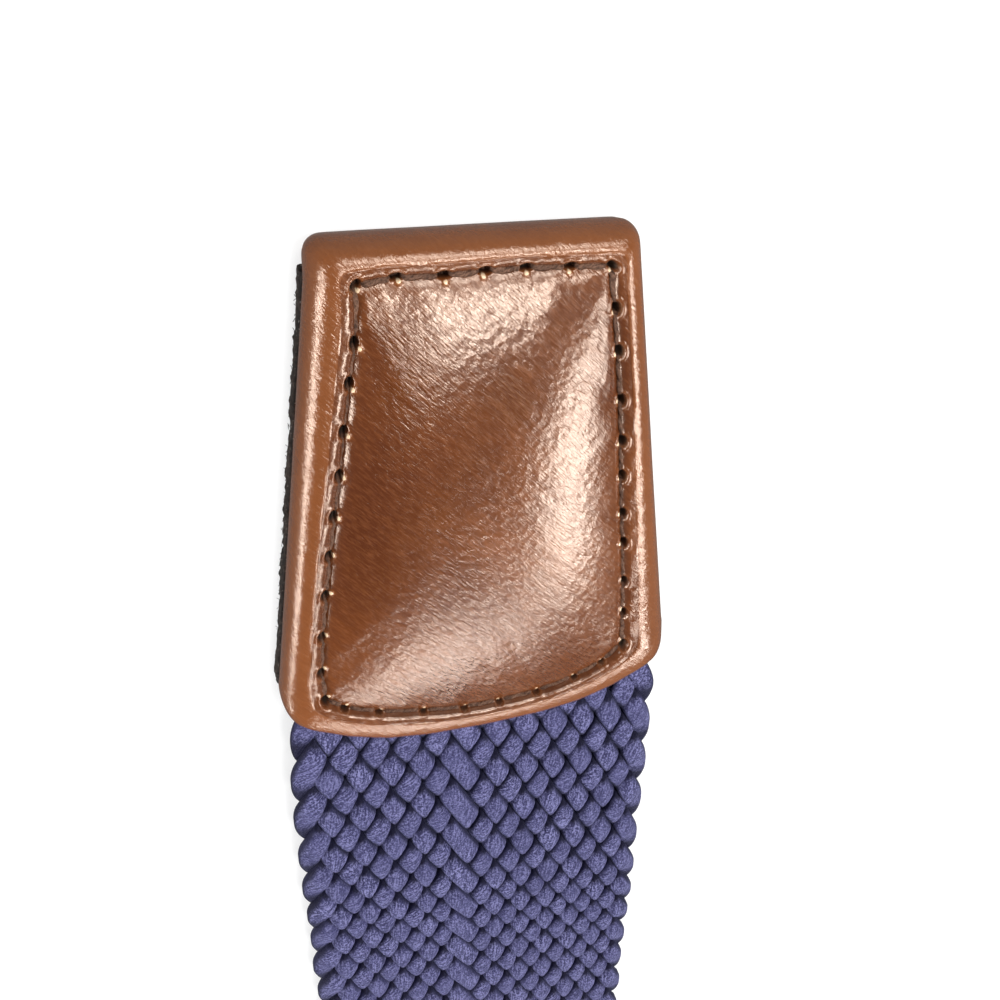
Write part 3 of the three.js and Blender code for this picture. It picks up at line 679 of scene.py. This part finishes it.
def tip_backing():
    """The backing layer, with a torn, fibrous edge."""
    n = NC
    o = OUT.copy()
    mid = np.array([21.5, 0.0])
    fray = sum(rng.uniform(0.015, 0.05) * np.sin(k * np.arange(n) / n * 2 * math.pi + rng.uniform(0, 6.3)) for k in (17, 29, 53, 91, 140))
    rows = []
    for share, z in ((0.9, 0.0), (0.5, 0.0), (0.06, 0.0), (0.012, 0.05), (0.004, 0.25), (0.0, 0.5), (-0.002, 0.8), (0.0, 1.1), (0.004, 1.35), (0.02, 1.45), (0.08, 1.45), (0.5, 1.45), (0.9, 1.45)):
        p = o + (mid - o) * share
        nrm = p - mid
        nrm /= np.linalg.norm(nrm, axis=1, keepdims=True)
        if share < 0.03:
            p = p + nrm * (fray + rng.normal(0, 0.035, n) - 0.02)[:, None]
        s = np.maximum(p[:, 0], 2.3)
        zz = np.full(n, z)
        zz = np.where(p[:, 0] > 36, np.minimum(zz, 1.2), zz)
        rows.append(np.column_stack([s, p[:, 1], zz]))
    pts = np.concatenate(rows)
    quads = ring_faces(len(rows), n)
    j = np.arange(n)
    hub = len(pts)
    e = (len(rows) - 1) * n
    tris = np.concatenate([np.stack([np.full(n, hub), (j + 1) % n, j], -1), np.stack([np.full(n, hub + 1), e + j, e + (j + 1) % n], -1)])
    pts = np.concatenate([pts, [[21.5, 0, 0.0], [21.5, 0, 1.45]]])
    return new_mesh("tip_backing_layer", place(pts[:, 0], pts[:, 1], pts[:, 2]), quads, tris)


backing_mat = backing_material()
bk = tip_backing()
face_outward(bk)
bk.data.materials.append(backing_mat)
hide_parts("tip_backing")

# loose fibres along the backing's two long edges
fib = Tubes()
for _ in range(160):
    s = rng.uniform(3.5, 36)
    sign = 1 if rng.random() < 0.6 else -1
    w = sign * (half_width(s) - 0.02)
    z = rng.uniform(0.15, 1.4)
    d = np.array([rng.normal(0, 1.0), sign * rng.uniform(0.1, 0.5), rng.normal(0, 0.5)])
    d /= np.linalg.norm(d)
    ln = rng.uniform(0.12, 0.32)
    t = np.linspace(-0.2, 1, 5)[:, None]
    bend = rng.normal(0, 0.25, 3) * (t ** 2) * ln
    p = np.array([s, w, z]) + d * ln * t + bend
    p[:, 2] = np.clip(p[:, 2], 0.06, 1.7)
    fib.add(place(p[:, 0], p[:, 1], p[:, 2]), 0.022, 0.022, 4, up=(0.1, 0.2, 1))
fb = fib.mesh("tip_backing_fibres")
fb.data.materials.append(backing_mat)

# ---------------------------------------------------------------- braid
COLS, DX = 24, 1.45           # cell columns from edge to edge, and their spacing
CORDS = 24
ROW_STEP = 0.1                # the table below: where each half row of the braid lies along the strap, for each w
W_TAB = np.linspace(-18, 18, 37)
S_FINE = np.linspace(20, 1010, 9901)
# one row of the braid is this long, u along the strap on a line that slants across it: a band of tighter rows
ROW_U = [0, 60, 66, 69, 73, 79, 85, 93, 1100]
ROW_LEN = [5.4, 5.4, 4.6, 3.85, 3.9, 4.35, 4.8, 5.3, 5.3]
T_UNI = np.arange(0, 400, ROW_STEP)
S_OF = []
for w_ in W_TAB:
    length = np.interp(S_FINE + 0.26 * w_, ROW_U, ROW_LEN) - (0.013 * w_ if w_ else 0) * (S_FINE < 62)
    t_ = np.concatenate([[0], np.cumsum(4 / (length[1:] + length[:-1]) * np.diff(S_FINE))])
    s_ref = 49.9 + 0.11 * 2.0 * math.log1p(math.exp((2 - w_) / 2.0))
    t_ += 13 - np.interp(s_ref, S_FINE, t_)
    S_OF.append(np.interp(T_UNI, t_, S_FINE))
S_OF = np.array(S_OF)
JIT = rng.normal(0, 1, (CORDS, 1200, 3))


def s_at(t, w):
    """Position along the strap of half row t at w."""
    ti = np.clip(t / ROW_STEP, 0, len(T_UNI) - 1.001)
    wi = np.clip((w + 18.0), 0, len(W_TAB) - 1.001)
    a, b = ti.astype(int), wi.astype(int)
    fa, fb = ti - a, wi - b
    return (S_OF[b, a] * (1 - fa) * (1 - fb) + S_OF[b, a + 1] * fa * (1 - fb)
            + S_OF[b + 1, a] * (1 - fa) * fb + S_OF[b + 1, a + 1] * fa * fb)


def wave(x):
    """Height, -1 to 1, of a cord on its way to larger columns; those on their way back have the opposite.
    One column of cords floats over two."""
    g = np.where(x <= 10, np.cos(np.pi * x), np.where(x < 11, 1.0, np.cos(np.pi * (x + 1))))
    g = np.where(x < 1, -np.sin(np.pi * x / 2) ** 4, g)
    g = np.where(x > 23, np.sin(np.pi * (24 - x) / 2) ** 4, g)
    return np.sign(g) * np.abs(g) ** 0.40


def braid_cord(n, s0, s1, step):
    """Path of one cord between two places along the strap. step is in half rows."""
    t = np.arange(0, 380 / step) * step
    u = (t + 2 * n) % (2 * COLS)
    s_mid = s_at(t, (12 - np.where(u < COLS, u, 2 * COLS - u)) * DX)
    keep = (s_mid >= s0) & (s_mid <= s1)
    t = t[keep]
    u = (t + 2 * n) % (2 * COLS)
    away = np.where(u < COLS, 1.0, -1.0)            # +1: to larger columns, -w
    x = np.where(u < COLS, u, 2 * COLS - u)
    wall = np.minimum(x, COLS - x)
    xr = np.where(x < COLS / 2, 1, -1) * (np.sqrt(wall ** 2 + 1.00 ** 2 * np.exp(-wall ** 2)) - wall) + x
    s = s_at(t, (12 - xr) * DX)
    jit = np.stack([np.interp(t, np.arange(1200), JIT[n, :, i]) for i in range(3)], -1)
    half = np.interp(s, ROW_S, ROW_HALF)
    low = np.interp(s, ROW_S, ROW_LOW)
    high = np.interp(s, ROW_S, ROW_HIGH)
    q = (12 - xr) / 12
    mid = (low + high) / 2 + np.interp(s, ROW_S, ROW_CROWN) * (1 - q * q) * 0.6
    scale = (high - low) / 3.6
    w = (12 - xr) * DX * half / 17.75 + 0.05 * jit[:, 0] + np.sign(12 - xr) * 0.74 * np.exp(-(wall / 0.9) ** 2)
    a = 1.19 + 0.03 * jit[:, 2]
    a = np.where(wall < 1, a - 0.05 * (1 - wall), a)
    b = 0.88 * scale
    z = mid + scale * 0.05 * jit[:, 1]

    def lift(lateral):
        # the line where a cord dives runs along the cord that crosses it
        xs = x[:, None] - 0.223 * lateral * smooth(wall * 1.5)[:, None]
        return (scale * 0.74 * away)[:, None] * wave(xs)

    # painted shade mask: 1 where the cord runs low under the crossing cords
    deep = smooth((0.18 - away * wave(x)) / 0.4)
    return place(s, w, z), a, b, deep, (n * 7.3) % 1.0, lift


def braid_piece(name, cords, s0, s1, sides, step):
    tubes = Tubes()
    for n in cords:
        c, a, b, deep, shade, lift = braid_cord(n, s0, s1, step)
        # first channel: painted shade under the crossings; second: the cord's own tone
        tint = np.column_stack([deep, np.full(len(deep), shade), np.zeros(len(deep))])
        tubes.add(c, a, b, sides, tint=tint, power=0.8, v0=n * 13.7, lift=lift)
    ob = tubes.mesh(name)
    ob.data.materials.append(cord_mat)
    return ob


cord_mat = cord_material()
SPLIT = 112.0
braid = [
    braid_piece("braid_front_a", range(0, 12), 37.5, SPLIT, 14, 1 / 12),
    braid_piece("braid_front_b", range(12, 24), 37.5, SPLIT, 14, 1 / 12),
    braid_piece("braid_bend_a", range(0, 12), SPLIT - 0.5, 540, 6, 1 / 3),
    braid_piece("braid_bend_b", range(12, 24), SPLIT - 0.5, 540, 6, 1 / 3),
    braid_piece("braid_rear_a", range(0, 12), 539, LENGTH - 30, 6, 1 / 3),
    braid_piece("braid_rear_b", range(12, 24), 539, LENGTH - 30, 6, 1 / 3),
]
for ob in braid:
    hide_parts("braid_strap")

# ---------------------------------------------------------------- buckle leather
CH_L, CH_H, LEATHER = 40.0, 18.4, 1.3
B_LINE = []
for q in np.linspace(-1, 1, 13):                    # across, near the base edge
    B_LINE.append((-(CH_L - 2.6 - 3.6 * q * q), q * 14.6))
B_SIDE = [(x, 15.2) for x in np.linspace(-33, -11.5, 8)]
B_HOLES = [(x, -y) for x, y in B_SIDE[::-1]] + B_LINE + B_SIDE
B_HOLES += [(-11.0, y) for y in np.linspace(12.2, -12.2, 8)]
B_HOLES = np.array(B_HOLES)


def buckle_leather():
    nq, ny = 120, 150
    ys = np.sin(np.linspace(-1, 1, ny) * math.pi / 2 * 0.999) * CH_H
    ys = 0.5 * ys + 0.5 * np.linspace(-CH_H, CH_H, ny) * 0.9999
    rings = []
    for y in ys:
        ay = abs(y)
        x_end = -(CH_L - 3.6 * (y / CH_H) ** 2)
        c = 3.2
        if ay > CH_H - c:
            x_end += c * (1 - math.sqrt(max(0, 1 - ((ay - (CH_H - c)) / c) ** 2)))
        r = 2.55                                     # middle of the leather round the bar
        x_top = np.linspace(x_end, -5.0, 70)
        k = smooth((x_top + 17) / 9)
        z_top = 5.15 + (3.2 + r - 5.15) * k + 0.35 * smooth((x_top - x_end) / 6) * (1 - (y / CH_H) ** 2) * (1 - k)
        x2 = np.linspace(-5.0, 0, 8)[1:]
        th = np.linspace(90, -90, 22)[1:]
        th = np.radians(th)
        x_bot = np.linspace(0, x_end + 0.15, 44)[1:]
        z_bot = np.full(len(x_bot), 3.2 - r)
        line = np.concatenate([np.column_stack([x_top, z_top]), np.column_stack([x2, np.full(len(x2), 3.2 + r)]),
                               np.column_stack([r * np.cos(th), 3.2 + r * np.sin(th)]), np.column_stack([x_bot, z_bot])])
        tan = np.gradient(line, axis=0)
        tan /= np.linalg.norm(tan, axis=1, keepdims=True)
        nrm = np.column_stack([-tan[:, 1], tan[:, 0]])
        e = np.minimum(np.arange(len(line)), len(line) - 1 - np.arange(len(line)))
        th_end = np.minimum(1, np.sqrt(np.clip((e * 0.45 + 0.02) / 0.65, 0, 1) * (2 - np.clip((e * 0.45 + 0.02) / 0.65, 0, 1))))
        side = math.sqrt(max(0.0004, 1 - max(0, (ay - (CH_H - 0.65)) / 0.65) ** 2))
        half = LEATHER / 2 * th_end * side
        outer = line + nrm * half[:, None]
        inner = line - nrm * half[:, None]
        ring = np.concatenate([outer, inner[::-1]])
        rings.append(np.column_stack([ring[:, 0], np.full(len(ring), y), ring[:, 1]]))
    n = len(rings[0])
    pts = np.concatenate(rings)
    top = (pts[:, 2] > 4.6) & (pts[:, 0] < -6)
    outer_side = np.tile(np.arange(n) < n // 2, len(rings))
    sel = np.where(top & outer_side)[0]
    tint = np.zeros((len(pts), 3))
    line = np.concatenate([resample(B_HOLES[k:k + 2], 8) for k in range(len(B_HOLES) - 1)])
    d_g, _ = near(pts[sel, :2], line)
    d_h, _ = near(pts[sel, :2], B_HOLES)
    pts[sel, 2] -= 0.22 * np.exp(-(d_g / 0.7) ** 2) + 0.7 * np.exp(-(d_h / 0.42) ** 2)
    # painted shade: near black in the needle holes (first channel) and darker along the stitched groove (second)
    tint[sel, 0] = smooth((0.5 - d_h) / 0.25)
    tint[sel, 1] = np.exp(-(d_g / 0.5) ** 2)
    pts[:, 2] = np.maximum(pts[:, 2], 0.0)
    hubs = np.array([pts[:n].mean(0), pts[-n:].mean(0)])
    quads = ring_faces(len(rings), n)
    # close both side faces between the outer and the inner line
    j = np.arange(n // 2 - 1)
    first = np.stack([j, j + 1, n - 2 - j, n - 1 - j], -1)
    last = first[:, ::-1] + (len(rings) - 1) * n
    ob = new_mesh("buckle_leather_skin", buckle_place(pts[:, 0], pts[:, 1], pts[:, 2]), np.concatenate([quads, first, last]), tint=tint)
    return ob


bl = buckle_leather()
face_outward(bl)
# slot for the prong
cut_c = buckle_place(2.75, 0, 7.0)
bpy.ops.mesh.primitive_cube_add(size=1)
cutter = bpy.context.object
cutter.scale = (18.5 * MM, 6.8 * MM, 9.0 * MM)
cutter.rotation_euler = (0, 0, math.radians(30))
cutter.location = Vector(cut_c) * MM
bpy.context.view_layer.update()
mod = bl.modifiers.new("slot", "BOOLEAN")
mod.operation, mod.solver, mod.object = "DIFFERENCE", "EXACT", cutter
bpy.context.view_layer.objects.active = bl
bpy.ops.object.modifier_apply(modifier="slot")
bpy.data.objects.remove(cutter)
bl.data.materials.clear()
bl.data.materials.append(leather_material("leather_buckle", math.radians(-15), 0.2))
for p in bl.data.polygons:
    p.use_smooth = True
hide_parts("buckle_leather")
bs = seam_stitches("buckle_stitches", B_HOLES, lambda p: 5.8 + 0 * p[:, 0] + 0.35 * (1 - (p[:, 1] / CH_H) ** 2) * smooth((p[:, 0] + 40) / 6) - 0.22
                   + (6.4 - 5.8) * smooth((p[:, 0] + 17) / 9) * 0.9, buckle_place)
bs.data.materials.append(thread_mat)


# ---------------------------------------------------------------- buckle
def buckle():
    tubes = Tubes()
    x0, x1, y1, c = -2.2, 31 - 2.3, 24.5 - 2.3, 7.0
    a = np.linspace(90, 0, 22)
    path = [(x0 + d, y1) for d in (0, 0.15, 0.4, 0.8, 1.3, 2.0)] + [(x, y1) for x in np.linspace(x0 + 3, x1 - c - 0.5, 16)]
    path += [(x1 - c + c * math.cos(math.radians(k)), y1 - c + c * math.sin(math.radians(k))) for k in a]
    path += [(x1, y) for y in np.linspace(y1 - c - 0.5, 0, 24)]
    path = path + [(x, -y) for x, y in path[::-1][1:]]
    path = np.array(path)
    n = len(path)
    e = np.minimum(np.arange(n), n - 1 - np.arange(n))
    near_end = np.interp(e, [0, 1, 2, 3, 4, 5], [0.15, 0.55, 0.78, 0.92, 0.98, 1.0])
    c3 = buckle_place(path[:, 0], path[:, 1], 2.5)
    tubes.add(c3, 2.3 * near_end, 2.5 * near_end, 24, power=0.66)
    yb = np.linspace(-y1, y1, 24)
    tubes.add(buckle_place(0, yb, 3.2), 1.6, 1.6, 16)
    # prong
    xs = np.array([-1.6, -0.9, 0.2, 2.5, 6, 10, 16, 21, 25, 28.5, 30.4, 31.2, 31.4])
    zs = np.array([3.3, 4.0, 4.5, 5.0, 5.75, 5.95, 6.1, 6.1, 6.05, 5.85, 5.55, 5.42, 5.38])
    rs = np.array([0.5, 0.95, 1.15, 1.13, 1.1, 1.08, 1.05, 1.02, 1.0, 0.95, 0.78, 0.5, 0.12])
    q = np.linspace(0, len(xs) - 1, 60)
    i = np.arange(len(xs))
    xs, zs, rs = np.interp(q, i, xs), np.interp(q, i, zs), np.interp(q, i, rs)
    tubes.add(buckle_place(xs, 0, zs), 2.1 * rs / 1.15, rs, 20, power=0.8)
    # eye round the bar
    th = np.radians(np.linspace(60, 300, 26))
    tubes.add(buckle_place(2.15 * np.cos(th), 0, np.maximum(3.2 + 2.15 * np.sin(th), 0.6)), 0.55, 2.0, 14, up=(-END_T[1], END_T[0], 0))
    return tubes.mesh("buckle_metal")


bu = buckle()
bu.data.materials.append(metal_material())
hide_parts("buckle")

# ---------------------------------------------------------------- floor and light
bpy.ops.mesh.primitive_plane_add(size=24)
floor = bpy.context.object
floor.name = "floor"
fm, fnt, fb_, _ = material("floor_white")
fc = node(fnt, "ShaderNodeTexCoord").outputs["Object"]
fnt.links.new(ramp(fnt, noise(fnt, fc, 3.0, 2, 0.5), (0.3, (0.27, 0.27, 0.27)), (0.7, (0.29, 0.29, 0.29))), fb_.inputs["Base Color"])
fb_.inputs["Emission Color"].default_value = (1, 1, 1, 1)
fb_.inputs["Emission Strength"].default_value = 0.74
fb_.inputs["Roughness"].default_value = 0.9
fb_.inputs["Specular IOR Level"].default_value = 0.1
floor.data.materials.append(fm)
floor.visible_glossy = False

TAB = Vector((0.1774, -0.3016, 0.006))


def softbox(name, direction, distance, size, radiance, colour=(1, 1, 1)):
    """Square soft light seen from the tip leather in that direction."""
    d = Vector(direction).normalized()
    data = bpy.data.lights.new(name, "AREA")
    data.shape = "RECTANGLE"
    data.size, data.size_y = size
    data.energy = radiance * math.pi * size[0] * size[1]
    data.color = colour
    ob = bpy.data.objects.new(name, data)
    scene.collection.objects.link(ob)
    ob.location = TAB + d * distance
    ob.rotation_euler = (-d).to_track_quat("-Z", "Y").to_euler()
    ob.visible_camera = False
    return ob


softbox("light_overhead", (0.15, -0.26, 0.955), 1.7, (0.26, 0.58), 33.0)
softbox("light_right", (-0.37, -0.63, 0.68), 1.7, (0.90, 0.38), 17.5)
softbox("light_strap", (-0.80, -0.06, 0.595), 1.7, (0.72, 0.19), 21.0)
softbox("light_left", (-0.24, 0.925, 0.29), 1.7, (0.90, 0.24), 32.0)
softbox("light_tip", (0.66, -0.21, 0.72), 1.7, (0.60, 0.70), 13.0)

world = bpy.data.worlds.new("studio")
scene.world = world
world.use_nodes = True
wnt = world.node_tree
bg = wnt.nodes["Background"]
wc = node(wnt, "ShaderNodeTexCoord").outputs["Generated"]
sep = node(wnt, "ShaderNodeSeparateXYZ")
wnt.links.new(wc, sep.inputs["Vector"])
wnt.links.new(ramp(wnt, sep.outputs["Z"], (0.0, (0.22, 0.22, 0.22)), (0.15, (0.20, 0.20, 0.20)), (0.5, (0.12, 0.12, 0.12)), (1.0, (0.10, 0.10, 0.10))), bg.inputs["Color"])
bg.inputs["Strength"].default_value = 1.0
# the room behind the floor is plain and pale
wall_bg = node(wnt, "ShaderNodeBackground")
wall_bg.inputs["Color"].default_value = (0.97, 0.97, 0.97, 1)
pick = node(wnt, "ShaderNodeMixShader")
wnt.links.new(node(wnt, "ShaderNodeLightPath").outputs["Is Camera Ray"], pick.inputs[0])
wnt.links.new(bg.outputs[0], pick.inputs[1])
wnt.links.new(wall_bg.outputs[0], pick.inputs[2])
wnt.links.new(pick.outputs[0], wnt.nodes["World Output"].inputs["Surface"])

# ---------------------------------------------------------------- bodies, end
for ob in [tip_ob, st, bk, fb, bl, bs, bu] + braid:
    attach(ob, "root")
